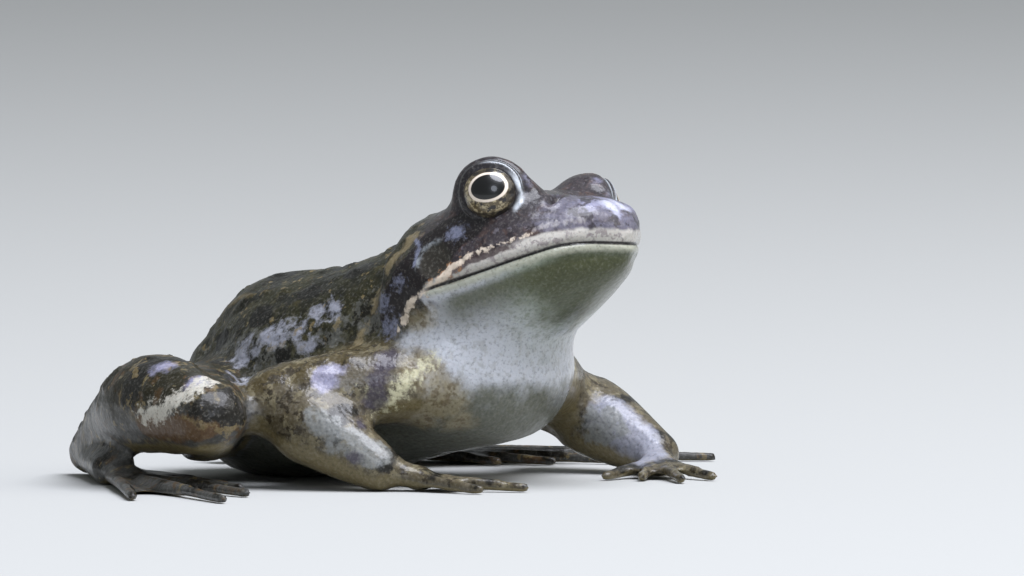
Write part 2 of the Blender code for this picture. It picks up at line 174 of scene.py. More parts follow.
# %% Finer faces on the head, lids and lips
MOUTH_B = (0.0, 2.9, 4.9, 7.9, 11.9, 15.9, 18.6, 22.4)
MOUTH_Z = (26.8, 26.8, 26.4, 25.1, 23.4, 21.9, 20.8, 19.6)


def mouth_height(b):
    """Height of the closed mouth, a smooth curve through a few measured places."""
    base = np.interp(b, MOUTH_B, MOUTH_Z)
    side = np.interp(b - 0.8, MOUTH_B, MOUTH_Z) + np.interp(b + 0.8, MOUTH_B, MOUTH_Z)
    return 0.5 * base + 0.25 * side


def vertex_places(item):
    flat = np.zeros(len(item.data.vertices) * 3)
    item.data.vertices.foreach_get("co", flat)
    return flat.reshape(-1, 3)


def mirror_right(level):
    """The level head folded onto its left half."""
    folded = level.copy()
    folded[:, 0] = np.abs(folded[:, 0])
    return folded


def subdivide_where(item, wanted):
    bpy.ops.object.select_all(action="DESELECT")
    bpy.context.view_layer.objects.active = item
    item.select_set(True)
    bpy.ops.object.mode_set(mode="EDIT")
    bpy.ops.mesh.select_all(action="DESELECT")
    work = bmesh.from_edit_mesh(item.data)
    for face in work.faces:
        if all(wanted[v.index] for v in face.verts):
            face.select_set(True)
    bmesh.update_edit_mesh(item.data)
    bpy.ops.mesh.subdivide(number_cuts=1)
    bpy.ops.object.mode_set(mode="OBJECT")


def near_head(item):
    head = mirror_right(level_head(body_place(vertex_places(item))))
    return (head[:, 1] < 22.0) & (head[:, 2] > 16.5)


def near_lids_or_lips(item):
    level = level_head(body_place(vertex_places(item)))
    head = mirror_right(level)
    lids = np.minimum(*[np.linalg.norm(level - EYE[side], axis=1) for side in (-1, 1)]) < EYE_R + 2.2
    lips = (np.abs(head[:, 2] - mouth_height(head[:, 1])) < 0.9) & (head[:, 1] < 18.5) & (head[:, 2] > 19.0)
    nostrils = np.linalg.norm(head - NOSTRIL, axis=1) < 1.6
    return lids | lips | nostrils


NOSTRIL = np.array((5.0, 7.3, 31.3))
subdivide_where(skin, near_head(skin))
subdivide_where(skin, near_lids_or_lips(skin))
print("skin faces:", len(skin.data.polygons))

# %% [markdown]
# Remeshing leaves small steps. Plain smoothing would melt the toes, so each
# smoothing step is followed by a slightly stronger step outward, which keeps
# the volume. Then the skin is drawn back by as much as the solids were swollen.

# %% Smooth the skin and draw it back in
def edge_ends(item):
    flat = np.zeros(len(item.data.edges) * 2, np.int64)
    item.data.edges.foreach_get("vertices", flat)
    return flat.reshape(-1, 2)


EDGES = edge_ends(skin)
COUNT = len(skin.data.vertices)
DEGREE = np.bincount(EDGES.ravel(), minlength=COUNT)


def neighbour_mean(values):
    out = np.empty_like(values)
    for k in range(values.shape[1]):
        out[:, k] = np.bincount(EDGES[:, 0], values[EDGES[:, 1], k], COUNT)
        out[:, k] += np.bincount(EDGES[:, 1], values[EDGES[:, 0], k], COUNT)
    return out / DEGREE[:, None]


def smooth_places(places, times):
    for _ in range(times):
        places = places + 0.55 * (neighbour_mean(places) - places)
        places = places - 0.57 * (neighbour_mean(places) - places)
    return places


def put_places(item, places):
    item.data.vertices.foreach_set("co", places.ravel())
    item.data.update()


def vertex_normals(item):
    flat = np.zeros(len(item.data.vertices) * 3)
    item.data.vertices.foreach_get("normal", flat)
    return flat.reshape(-1, 3)


put_places(skin, smooth_places(vertex_places(skin), 10))
put_places(skin, vertex_places(skin) - vertex_normals(skin) * (SWELL + 0.02) * MM)
put_places(skin, smooth_places(vertex_places(skin), 4))
print("skin vertices:", COUNT)

# %% [markdown]
# Where a limb leaves the body the solids meet at an edge, but on the animal the
# skin stretches softly from one to the other. Such places are found as those
# where two parts share the neighbourhood, and are smoothed on their own.

# %% Soften the roots of the limbs
def nearest_solid(item):
    owner = np.zeros(COUNT, int)
    for k, v in enumerate(item.data.vertices):
        owner[k] = face_owner[flesh_tree.find_nearest(v.co)[2]]
    return owner


def share_of(*kinds, spread=2):
    """One on the solids whose names start so, softened over a few faces."""
    chosen = [k for k, name in enumerate(FLESH) if name.startswith(kinds)]
    share = np.isin(OWNER, chosen).astype(float)[:, None]
    for _ in range(spread):
        share = 0.5 * share + 0.5 * neighbour_mean(share)
    return share[:, 0]


OWNER = nearest_solid(skin)
joins = 4.0 * share_of("trunk", spread=14) * share_of("upper_arm", "thigh", spread=14)
joins += 2.5 * share_of("upper_arm", spread=8) * share_of("forearm", spread=8)
joins += 2.5 * share_of("thigh", spread=6) * share_of("shank", spread=6)
joins += 2.0 * share_of("forearm", "tarsus", spread=5) * share_of("hand", "foot", spread=5)
joins += 3.0 * share_of("trunk", spread=12) * share_of("head", "lower_jaw", spread=12)
joins = np.clip(joins, 0.0, 1.0)[:, None]
for _ in range(22):
    places = vertex_places(skin)
    put_places(skin, places + 0.6 * joins * (neighbour_mean(places) - places))
print("softened vertices:", int((joins > 0.3).sum()))

# %% [markdown]
# Most features of a frog's face follow lines: the mouth, the lumpy gland behind
# its corner, the fold over the eardrum. A raised or sunken line is made by moving
# the skin along its own normals, by an amount that falls off with the distance
# from a path. That keeps the skin one closed sheet.

# %% Distances to paths, and one frame for both halves
def smooth_step(value, low, high):
    t = np.clip((value - low) / (high - low), 0.0, 1.0)
    return t * t * (3.0 - 2.0 * t)


def frog_frame(item):
    """Places folded onto the left half, level in the head and as built in the body."""
    place = body_place(vertex_places(item))
    head_share = smooth_step(-place[:, 1], -32.0, -20.0)[:, None]
    head_share = head_share * smooth_step(place[:, 2], 8.0, 18.0)[:, None]
    return mirror_right(place + (level_head(place) - place) * head_share)


def near_path(points, path, columns=(0, 1, 2)):
    """Distance to a path, and how far along it (0 to 1) the nearest place is."""
    path = np.array(path, float)[:, columns]
    points = points[:, columns]
    steps = np.linalg.norm(np.diff(path, axis=0), axis=1)
    starts = np.concatenate([[0.0], np.cumsum(steps)]) / steps.sum()
    best = np.full(len(points), 1e9)
    along = np.zeros(len(points))
    for k in range(len(path) - 1):
        way = path[k + 1] - path[k]
        t = np.clip((points - path[k]) @ way / (way @ way), 0.0, 1.0)
        gap = np.linalg.norm(points - path[k] - t[:, None] * way, axis=1)
        closer = gap < best
        best = np.where(closer, gap, best)
        along = np.where(closer, starts[k] + t * (starts[k + 1] - starts[k]), along)
    return best, along


def bell(gap, width):
    return np.exp(-((gap / width) ** 2))


def cloud(points, size, seed=0.0, octaves=2):
    """Smooth random values from about -1 to 1, in lumps of a given size in mm."""
    shift = Vector((seed * 7.3, seed * 3.1, seed * 5.7))
    return np.array([noise.fractal(Vector(p) / size + shift, 1.0, 2.0, octaves) for p in points])


# The places on the left half that the features of the head and back follow.
RIDGE = [(9.9, 7.2, 27.6), (10.8, 8.8, 26.9), (11.8, 11.0, 25.9), (12.4, 13.3, 25.0), (12.9, 15.0, 23.7),
         (13.1, 16.6, 21.9), (13.4, 18.6, 20.6), (13.5, 20.6, 19.2), (13.0, 22.2, 16.4)]
EAR_FOLD = [(11.4, 17.2, 29.6), (12.3, 19.6, 27.6), (12.9, 21.6, 25.0), (13.3, 23.0, 21.8),
            (13.0, 24.2, 18.4)]
BACK_FOLD = [(9.3, 22.5, 27.6), (9.9, 28.0, 25.2), (9.9, 34.0, 23.8), (9.2, 40.0, 22.4), (7.8, 46.0, 21.0),
             (6.0, 51.5, 18.8)]
CANTHUS = [(9.3, 8.6, 32.6), (7.6, 6.3, 32.4), (5.9, 4.4, 31.9), (3.9, 3.0, 31.2)]
EARDRUM = np.array((13.1, 17.7, 24.2))
EARDRUM_R = 2.1
print("skin frame ready")

# %% [markdown]
# The mouth runs back in a long shallow curve under the eye. The upper lip
# overhangs it a little and the lower jaw has a narrow rim below it. The
# muzzle has a soft edge from eye to nostril, and the nostril is a slanting slit.

# %% The mouth and a way to raise or sink the skin
def move_along_normals(item, amount):
    places = vertex_places(item) + vertex_normals(item) * amount[:, None] * MM
    put_places(item, places)


def mouth_share(frog):
    """One on the sides and front of the muzzle, nothing behind the mouth's corner."""
    return smooth_step(-frog[:, 1], -19.2, -17.4) * smooth_step(frog[:, 2], 18.0, 20.0)


frog = frog_frame(skin)
above_mouth = frog[:, 2] - mouth_height(frog[:, 1])


MARK_SQUASH = (0.35, 1.0, 1.0)


def near_mark(path):
    """Distance to a small mark of the face, mostly as seen from the side."""
    return near_path(frog * MARK_SQUASH, np.array(path) * MARK_SQUASH)[0]

# %% [markdown]
# Every line of the face now adds its own share of height: raised where it is a
# lip, a ridge or a brow, sunk where it is a groove, a slit or the eardrum. The
# sum moves the skin once, and the lips are smoothed again, so that the groove
# of the mouth stays a clean line.

# %% Lips, ridge, nostril and ear
NOSTRIL_SLIT = [NOSTRIL + (-0.6, 0.3, 0.5), NOSTRIL + (0.3, -0.1, -0.5)]
BROW = [(11.3, 14.3, 34.2), (10.3, 10.8, 34.2), (9.3, 8.7, 33.0), (6.9, 8.0, 32.3)]
share = mouth_share(frog)
side_on = smooth_step(frog[:, 0], 7.0, 9.5)
face = np.zeros(COUNT)
face += share * 0.26 * bell(above_mouth - 0.85, 0.75) * smooth_step(frog[:, 1], 0.5, 4.0)
face -= share * 0.78 * bell(above_mouth + 0.3, 2.5) * smooth_step(-frog[:, 1], -5.5, -1.5)
face -= share * 0.42 * bell(above_mouth, 0.26) * (0.3 + 0.7 * smooth_step(frog[:, 1], 1.0, 5.0))
face += share * 0.14 * bell(above_mouth + 0.65, 0.5)
face -= share * 0.16 * bell(above_mouth + 1.9, 0.8)
gap, along = near_path(frog, RIDGE, columns=(1, 2))
lumps = 0.75 + 0.45 * cloud(frog, 0.9, 1)
ridge_width = np.interp(along, [0.0, 0.3, 0.5, 1.0], [0.35, 0.5, 0.85, 0.6])
face += 0.42 * np.exp(-((gap / ridge_width) ** 2)) * lumps * side_on * smooth_step(along, 0.0, 0.2)
gap, along = near_path(frog, CANTHUS)
face += 0.28 * bell(gap, 1.0)
face -= 0.22 * bell(near_path(frog, [(9.9, 8.4, 30.2), (7.9, 5.6, 30.0)])[0], 1.2)
slit = near_mark(NOSTRIL_SLIT)
face += 0.2 * bell(slit - 0.7, 0.35) - 0.6 * bell(slit, 0.28)
face += 0.2 * bell(near_mark(BROW), 0.6)
gap, along = near_path(frog, EAR_FOLD)
face += 0.4 * bell(gap, 0.9) * smooth_step(along, 0.0, 0.35) * smooth_step(-along, -1.05, -0.8)
ear = np.linalg.norm((frog - EARDRUM)[:, 1:], axis=1) + 4.0 * (frog[:, 0] < 8.0)
face += 0.1 * bell(ear - EARDRUM_R, 0.35) - 0.12 * smooth_step(-ear, -EARDRUM_R, -EARDRUM_R + 0.7)
move_along_normals(skin, face)
lip_calm = (share * bell(above_mouth, 0.7))[:, None]
for _ in range(2):
    places = vertex_places(skin)
    put_places(skin, places + 0.5 * lip_calm * (neighbour_mean(places) - places))
print("face moved from %.2f to %.2f mm" % (face.min(), face.max()))

# %% [markdown]
# A frog's eye bulges from the head, and thick lids hold it all round, with a
# heavy brow above. The lids could be rings laid on the head, but a seam would
# show. The skin itself is shaped instead: inside the opening it sinks behind the
# eyeball, at the edge it rolls over it, and outside it runs on into the head.

# %% Lids and sockets
GAZE_TURN = math.radians(60.0)
OPENING_LIFT = math.radians(1.0)
OPENING_AHEAD = 56.0
OPENING_BEHIND = 66.0
OPENING_HALF_HEIGHT = 57.0
LID_STAND = 0.2
CRESCENT = [(30.0, 52.0), (46.0, 38.0), (58.0, 21.0), (67.0, 3.0), (60.0, -20.0), (44.0, -41.0),
            (18.0, -57.0)]


def gaze_axes(turn, lift):
    """Outward, forward and upward directions of the left eye in the level head."""
    out = np.array((math.sin(turn) * math.cos(lift), -math.cos(turn) * math.cos(lift), math.sin(lift)))
    forward = np.array((-math.cos(turn), -math.sin(turn), 0.0))
    return out, forward, np.cross(forward, out)


def eye_angles(ways, axes):
    """Degrees forward and upward from the axis, for unit directions."""
    out, forward, up = axes
    front, side, height = ways @ out, ways @ forward, ways @ up
    flat = np.sqrt(side * side + height * height) + 1e-9
    from_axis = np.degrees(np.arctan2(flat, front))
    return from_axis * side / flat, from_axis * height / flat

# %% [markdown]
# Each patch of skin near an eye is placed by its angle from the direction of the
# opening: 1 at the edge of the opening and more outside it. A profile over that
# angle says how far from the centre of the eyeball the skin lies.

# %% Shape both lids
LID_AXES = gaze_axes(GAZE_TURN, OPENING_LIFT)
lids, lid_highlight = np.zeros(COUNT), np.zeros(COUNT)
for side in (-1, 1):
    away = (level_head(body_place(vertex_places(skin))) - EYE[side]) * (side, 1.0, 1.0)
    reach = np.linalg.norm(away, axis=1)
    ahead, upward = eye_angles(away / reach[:, None], LID_AXES)
    opening_half = np.where(ahead > 0.0, OPENING_AHEAD, OPENING_BEHIND)
    edge = np.hypot(ahead / opening_half, upward / OPENING_HALF_HEIGHT)
    lid_profile = np.interp(edge, [0.0, 0.90, 0.975, 1.03, 1.10, 1.22, 1.36, 1.5],
                            [-0.9, -0.8, 0.02, LID_STAND, 0.36, 0.30, 0.16, 0.42])
    brow = smooth_step(upward, 5.0, 45.0)
    lid_profile += brow * 0.18 * smooth_step(edge, 0.98, 1.2)
    rings = np.cos((edge - 1.12) * 2.0 * math.pi / 0.17)
    rings = rings * smooth_step(edge, 1.02, 1.12) * smooth_step(-edge, -1.6, -1.4)
    lid_profile += 0.07 * rings * smooth_step(ahead + 0.5 * upward, -25.0, 25.0)
    held = smooth_step(-edge, -1.62, -1.25) * smooth_step(-reach, -EYE_R - 2.6, -EYE_R - 1.4)
    moved = ((EYE_R + lid_profile - reach) * held)[:, None] * away / reach[:, None] * (side, 1.0, 1.0)
    turned = np.stack(tilted_way((moved[:, 0], moved[:, 1], moved[:, 2])), axis=1)
    put_places(skin, vertex_places(skin) + turned * MM)
    lids = np.maximum(lids, held * smooth_step(edge, 0.9, 1.0))
    # The pale crescent before the opening and the arcs on the crests of the lid folds are painted
    # highlights.
    forward_share = smooth_step(ahead + 0.6 * upward, 0.0, 45.0)
    crescent, along = near_path(np.stack([ahead, upward], axis=1), CRESCENT, columns=(0, 1))
    crescent = held * bell(crescent, 4.8) * smooth_step(edge, 0.98, 1.03)
    crescent = crescent * smooth_step(along, 0.0, 0.3) * smooth_step(-along, -0.92, -0.66)
    settled = reach + (EYE_R + lid_profile - reach) * held
    crescent = crescent * smooth_step(-settled, -EYE_R - 0.85, -EYE_R - 0.5)
    arcs = held * smooth_step(rings, 0.1, 0.8) * forward_share * smooth_step(upward, 5.0, 35.0)
    arcs = arcs * smooth_step(edge, 1.0, 1.05) * smooth_step(-edge, -1.4, -1.25)
    lid_highlight = np.maximum(lid_highlight, np.maximum(crescent, 0.6 * arcs))
    calm = (held * smooth_step(edge, 0.99, 1.12))[:, None]
    for _ in range(3):
        places = vertex_places(skin)
        put_places(skin, places + 0.5 * calm * (neighbour_mean(places) - places))
print("vertices shaped into lids:", int((lids > 0.5).sum()))

# %% [markdown]
# The back carries two low folds from behind the eyes to the rump, and small
# warts lie between them and down the flanks. The skin wrinkles where the limbs
# bend and where the throat meets the chest.

# %% Folds and warts of the body
frog = frog_frame(skin)
normals = vertex_normals(skin)
gap, along = near_path(frog, BACK_FOLD)
body = 0.36 * bell(gap, 1.15) * (0.85 + 0.3 * cloud(frog, 2.4, 2)) * smooth_step(along, 0.05, 0.25)
behind_head = smooth_step(frog[:, 1], 19.0, 25.0)
top_side = smooth_step(normals[:, 2], -0.15, 0.35)
warts = smooth_step(cloud(frog, 1.7, 3, 1), 0.22, 0.55)
body += 0.2 * warts * top_side * behind_head
slack = cloud(frog * (1.0, 0.55, 1.0), 2.6, 4)
body += 0.14 * slack * behind_head
body = body * (1.0 - 0.85 * share_of("hand", "foot", spread=3))
throat_fold = near_path(frog, [(0.0, 10.6, 13.2), (4.0, 12.0, 13.0), (7.5, 14.6, 13.2)])[0]
body -= 0.2 * bell(throat_fold, 0.9)
move_along_normals(skin, body)
places = vertex_places(skin)
put_places(skin, np.maximum(places, (-1.0, -1.0, 0.0)))
print("body moved from %.2f to %.2f mm" % (body.min(), body.max()))

# %% [markdown]
# The colours of a frog follow its anatomy, so they are painted by place: which
# limb a patch of skin belongs to, how far along that limb it lies, and how far
# it is from the lines of the face. Each kind of marking gets its own value on
# the vertices, and the material breaks its edge up with fine noise.

# %% Which part each patch of skin belongs to
def limb_length(node):
    """Middle and long axis of a solid, from its vertices."""
    flat = np.array([v.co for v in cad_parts[node].data.vertices]) / MM
    middle = flat.mean(axis=0)
    way = np.linalg.svd(flat - middle, full_matrices=False)[2][0]
    reach_along = (flat - middle) @ way
    return middle, way, reach_along.min(), reach_along.max()


def keep(name, values):
    made = skin.data.attributes.new(name, "FLOAT", "POINT")
    made.data.foreach_set("value", np.clip(values, 0.0, 1.0).astype(np.float32))
    skin.data.update()


OWNER = nearest_solid(skin)
frog = frog_frame(skin)
normals = vertex_normals(skin)
true_place = vertex_places(skin) / MM
print("solids on the skin:", len(set(OWNER)))

# %% [markdown]
# Back, flank, throat and limbs differ in their ground colour, and each is kept
# as a share between nothing and one.

# %% Ground colours
head = share_of("head", spread=6)
jaw = share_of("lower_jaw", spread=3)
trunk = share_of("trunk", spread=6)
arms = share_of("upper_arm", "forearm", "hand", spread=4)
legs = share_of("thigh", "shank", "tarsus", "foot", spread=4)
flank_low = np.interp(frog[:, 1], [14.0, 19.0, 22.5, 26.0, 32.0, 45.0], [19.5, 17.5, 14.0, 11.5, 9.0, 7.0])
flank_high = np.interp(frog[:, 1], [14.0, 22.0, 30.0, 45.0, 60.0], [25.0, 23.5, 22.0, 19.0, 14.0])
height = (frog[:, 2] - flank_low) / (flank_high - flank_low)
belly = (1.0 - head - jaw) * smooth_step(-height, -0.35, 0.15)
flank = trunk * smooth_step(height, -0.1, 0.3) * smooth_step(-height, -1.15, -0.7)
under = smooth_step(-normals[:, 2], -0.15, 0.55)
under_leg = smooth_step(-normals[:, 2], 0.45, 0.9)
chin = jaw + head * smooth_step(-above_mouth, 0.2, 0.8) * (frog[:, 1] < 19.0)
chin = np.clip(chin, 0.0, 1.0)
nape = smooth_step(-frog[:, 1] - 1.6 * cloud(frog, 3.0, 7), -27.0, -15.5)
keep("head", (head * (1.0 - chin) + trunk * smooth_step(height, 0.0, 0.4)) * nape)
keep("belly", belly + chin)
# Painted shade: the trunk and arms darken low down, toward the floor.
keep("low_belly_shade", (trunk + 0.5 * arms) * smooth_step(-frog[:, 2] - 0.9 * cloud(frog, 4.0, 6), -13.4, -8.6))
keep("flank", flank)
keep("chin", chin * smooth_step(-frog[:, 1], -14.0, -6.0))
keep("limb_under", arms * under + legs * under_leg)
keep("arms", arms)
keep("legs", legs)
print("ground colours kept")

# %% [markdown]
# Dark bars cross the legs and arms, and run on from thigh to shank when the leg
# is folded. They are waves along each limb, bent by slow noise.

# %% Bars across the limbs
def bars_on(kind, count, phase, dark_share):
    total = np.zeros(COUNT)
    for side in ("right", "left"):
        node = kind + "_" + side
        middle, way, low, high = limb_length(node)
        if way[1] < 0.0:
            way, low, high = -way, -high, -low
        t = ((true_place - middle) @ way - low) / (high - low)
        wave = np.sin(2.0 * math.pi * (count * t + phase) + 1.1 * bend)
        total += share_of(node, spread=2) * (0.5 + 0.5 * wave + dark_share)
    return total


bend = cloud(true_place, 7.0, 5)
bars = bars_on("thigh", 3.4, 0.10, 0.0)
bars += bars_on("shank", 3.6, 0.30, 0.0)
bars += bars_on("tarsus", 2.4, 0.0, 0.0)
bars += bars_on("forearm", 2.2, 0.05, -0.16)
bars += bars_on("foot", 4.0, 0.2, -0.1) + bars_on("hand", 3.0, 0.2, -0.2)
keep("bars", bars * (1.0 - 0.9 * under))
print("bars kept")

# %% [markdown]
# The face has its own marks. The plainest is a dark mask from the eye over the
# eardrum, drawn as a closed outline seen from the side. A mark's value is one
# half on its outline, so that noise can push its edge in and out.

# %% The dark mask and the eardrum
def inside_outline(points, outline):
    """Millimetres inside (more than 0) or outside a closed outline seen from the side."""
    outline = np.array(outline, float)
    closed = np.vstack([outline, outline[:1]])
    gap = near_path(points, np.insert(closed, 0, 0.0, axis=1), columns=(1, 2))[0]
    b, z = points[:, 1], points[:, 2]
    inside = np.zeros(len(points), bool)
    for (b0, z0), (b1, z1) in zip(closed[:-1], closed[1:]):
        crosses = (z0 > z) != (z1 > z)
        inside ^= crosses & (b < (b1 - b0) * (z - z0) / (z1 - z0 + 1e-12) + b0)
    return np.where(inside, gap, -gap)


MASK = [(12.4, 29.6), (13.0, 27.2), (14.6, 25.9), (16.4, 23.6), (17.3, 21.8), (20.4, 20.0), (23.2, 16.8),
        (24.8, 17.4), (24.4, 20.0), (22.8, 23.2), (20.8, 26.2), (18.6, 28.4), (15.6, 29.8)]
side_on = smooth_step(frog[:, 0], 7.0, 9.5)
keep("mask", (0.5 + inside_outline(frog, MASK) / 1.2) * side_on)
keep("eardrum", smooth_step(-ear, -EARDRUM_R - 0.2, -EARDRUM_R + 0.4) * side_on)
# A painted highlight on the rear of the eardrum's rim.
behind_ear = smooth_step(frog[:, 1] + 0.5 * frog[:, 2], EARDRUM[1] + 0.5 * EARDRUM[2] + 0.5,
                         EARDRUM[1] + 0.5 * EARDRUM[2] + 1.6)
keep("ear_rim_highlight", bell(ear - EARDRUM_R, 0.24) * behind_ear * side_on)
print("mask kept")

# %% [markdown]
# The marks round the mouth follow the same lines as its shape does, so colour and
# relief agree: the cream ridge with a shade under it, the pale upper lip, the
# narrow pale rim of the lower jaw, and the dark line where the lips meet. That
# line is kept as a height, and the material draws it, finer than the faces are.

# %% Ridge, lips and mouth line
gap, along = near_path(frog, RIDGE, columns=(1, 2))
ridge_half = np.interp(along, [0.0, 0.2, 0.36, 0.5, 0.62, 0.8, 1.0], [0.12, 0.2, 0.3, 0.55, 0.36, 0.42, 0.3])
keep("ridge", (0.5 + (ridge_half - gap) / 0.7) * side_on)
keep("ridge_lumps", bell(along - 0.5, 0.14) * bell(gap, 1.1) * side_on)
below_ridge, along = near_path(frog - (0.0, 0.3, -0.75), RIDGE, columns=(1, 2))
shade_ends = smooth_step(along, -0.02, 0.2) * smooth_step(-along, -0.66, -0.4)
keep("ridge_shade", bell(below_ridge, 0.5) * side_on * shade_ends)
above_mouth = frog[:, 2] - mouth_height(frog[:, 1])
lip_top = np.interp(frog[:, 1], [0.0, 2.1, 4.3, 6.8, 9.9, 14.0, 17.0], [1.5, 1.5, 1.6, 1.8, 1.8, 1.4, 0.8])
on_lip = mouth_share(frog) * smooth_step(above_mouth, -0.1, 0.15)
keep("lip", on_lip * (0.5 + (lip_top - above_mouth) / 0.7))
MOUTH_SPAN = 4.0
keep("mouth", mouth_share(frog))
keep("above_mouth", 0.5 + above_mouth / MOUTH_SPAN)
rim_low = np.interp(frog[:, 1], [0.0, 4.0, 9.0, 15.0, 18.0], [0.8, 1.0, 1.1, 1.1, 0.8])
on_rim = mouth_share(frog) * smooth_step(-above_mouth, 0.1, 0.3)
keep("rim", on_rim * (0.5 + (rim_low + above_mouth) / 0.9))
spot_band = mouth_share(frog) * bell(above_mouth - lip_top - 0.9, 0.6)
keep("lip_spots", spot_band * smooth_step(-frog[:, 1], -9.0, -6.5) * smooth_step(frog[:, 1], 0.5, 4.0))
marks = bell(near_mark(NOSTRIL_SLIT), 0.42)
marks += bell(near_mark([(6.5, 9.1, 32.2), (7.0, 8.6, 30.9)]), 0.5)
keep("face_marks", marks)
# A pale line along the brow, partly a painted highlight.
keep("brow_line_and_highlight", bell(near_mark(BROW), 0.4))
keep("lids", lids)
keep("lid_highlight", lid_highlight)
print("marks of the face kept")

# %% [markdown]
# Dark blotches lie between the folds of the back, and a broken pale line runs
# down behind the ear. Patches are balls round a place and bands are strips
# along a path; the material will eat into their edges.

# %% Blotches and folds of the back
def patches(places):
    """Half or more inside any of the round patches given as x, b, z and radius."""
    total = np.zeros(COUNT)
    for x, b, z, size in places:
        gap = np.linalg.norm((frog - (x, b, z)) * (1.0, 0.85, 1.0), axis=1)
        total = np.maximum(total, 0.5 + (size - gap) / 1.8)
    return total


BLOTCHES = [(8.0, 31.5, 23.6, 1.7), (12.2, 26.2, 23.6, 1.5), (11.5, 42.2, 18.3, 1.7), (4.0, 27.0, 26.0, 1.9),
            (4.6, 36.0, 25.0, 2.1), (3.6, 45.0, 23.0, 1.9), (14.2, 36.8, 14.0, 1.0), (14.6, 28.0, 17.0, 1.4),
            (10.0, 36.5, 21.5, 1.6), (12.6, 38.6, 14.0, 1.6), (9.0, 48.0, 15.0, 1.7), (4.0, 18.5, 33.0, 1.3)]
FOLD_LINE = [(11.4, 21.6, 27.4), (12.6, 23.6, 24.4), (13.2, 25.4, 20.8), (13.4, 26.6, 17.8),
             (13.2, 27.2, 15.4)]
gap, along = near_path(frog, BACK_FOLD)
keep("back_fold", bell(gap, 1.0) * smooth_step(along, 0.0, 0.2))
gap, along = near_path(frog, FOLD_LINE, columns=(1, 2))
keep("fold_line", (0.5 + (0.6 - gap) / 1.5) * side_on)
keep("blotch", patches(BLOTCHES) * np.clip(trunk + head, 0.0, 1.0))
print("marks of the back kept")

# %% [markdown]
# The limbs and flanks carry pale patches: cream and rust on the knee, lavender and
# yellow on the upper arm, grey on the forearm and flank. The lavender is a painted
# reflection of the sky light, the grey is pale skin under a painted highlight, and
# one cream spot on top of the knee is a painted highlight.

# %% Patches of the limbs, chest and flanks
def band(path, half_width, part=1.0, blur=1.6):
    """Half or more within a given distance of a path on the body."""
    return (0.5 + (half_width - near_path(frog, path)[0]) / blur) * part


upper_arm, forearm = share_of("upper_arm", spread=3), share_of("forearm", spread=3)
on_left = true_place[:, 0] > 0.0
CREAM_BAND = [(34.5, 41.0, 8.3), (35.6, 37.3, 9.4), (35.4, 34.2, 11.2), (32.7, 33.5, 12.5)]
# The first spot, on top of the knee, is a painted highlight; the others are cream mottles.
KNEE_HIGHLIGHT_AND_CREAM_SPOTS = [(32.2, 39.2, 13.1, 1.3), (33.6, 43.4, 8.6, 0.4), (34.0, 42.4, 10.6, 0.4),
               (30.3, 49.2, 8.2, 0.7)]
keep("cream", band(CREAM_BAND, 1.3, legs) + patches(KNEE_HIGHLIGHT_AND_CREAM_SPOTS))
keep("red_leg", band([(34.0, 41.5, 6.9), (36.1, 36.0, 7.0), (35.8, 31.5, 7.5)], 1.5, legs))
keep("yellow", patches([(12.9, 22.8, 16.4, 1.0), (13.4, 27.4, 17.6, 1.0), (18.4, 24.0, 11.4, 1.8)])
     + band([(12.8, 17.4, 14.2), (14.9, 19.2, 11.8), (16.4, 22.2, 8.8)], 0.9)
     + patches([(20.2, 19.2, 7.6, 1.4)]) * on_left)
WARM_CHEST = [(13.6, 18.4, 12.4, 2.4), (11.8, 16.8, 9.4, 2.6), (12.9, 19.4, 17.6, 1.5),
              (12.6, 20.2, 7.6, 2.4), (9.4, 16.4, 6.4, 2.0)]
keep("warm_chest", patches(WARM_CHEST))
# Pale top of the far arm, partly a painted reflection.
keep("far_arm_pale_and_sheen", band([(20.2, 17.4, 6.8), (20.1, 14.2, 4.6), (18.2, 10.8, 2.8)], 2.2, arms * on_left, 2.0))
keep("leg_edges", share_of("thigh", "shank", spread=3) * (1.0 - 0.9 * under))
keep("matt", 0.9 * legs + trunk * smooth_step(height, 0.35, 0.8))
# Painted reflections of the sky light on the upper arm, the knee and the far forearm.
keep("lavender_sheen", band([(20.0, 27.4, 13.2), (18.0, 25.0, 13.4), (15.6, 22.8, 14.2)], 1.5, arms)
     + band([(20.6, 26.8, 11.2), (23.1, 26.2, 8.6)], 1.2, arms)
     + patches([(34.0, 34.2, 12.4, 1.2), (31.4, 40.6, 13.6, 1.3)])
     + band([(20.4, 15.2, 5.4), (20.4, 12.0, 3.6)], 1.5, forearm * on_left))
far_arm = share_of("forearm_left", "upper_arm_left", spread=3)
# Pale grey on the forearms' tops, partly a painted highlight.
keep("forearm_pale_and_sheen", band([(23.2, 26.0, 7.6), (22.3, 23.2, 5.6), (20.3, 19.8, 4.2)], 1.9, forearm)
     + band([(20.2, 17.4, 6.4), (20.2, 12.8, 3.8), (18.0, 9.4, 2.4)], 3.0, far_arm))
keep("arm_bar", band([(15.1, 21.9, 14.4), (16.5, 22.3, 12.2), (16.8, 22.8, 9.8)], 1.4, upper_arm)
     + patches([(19.7, 22.7, 7.5, 0.8), (22.0, 22.0, 3.8, 0.8)]))
# Pale grey marbling of the flank and thigh, partly a painted highlight.
FLANK_PALE_AND_SHEEN = [(13.6, 38.2, 16.3, 2.0), (12.3, 32.7, 18.9, 2.0), (13.4, 35.1, 16.9, 1.8),
              (14.2, 33.5, 15.0, 1.4), (13.7, 42.5, 14.1, 2.2), (22.6, 37.0, 11.8, 2.2),
              (18.0, 40.0, 12.0, 2.2)]
keep("flank_pale_and_sheen", patches(FLANK_PALE_AND_SHEEN))
print("patches of the body kept")
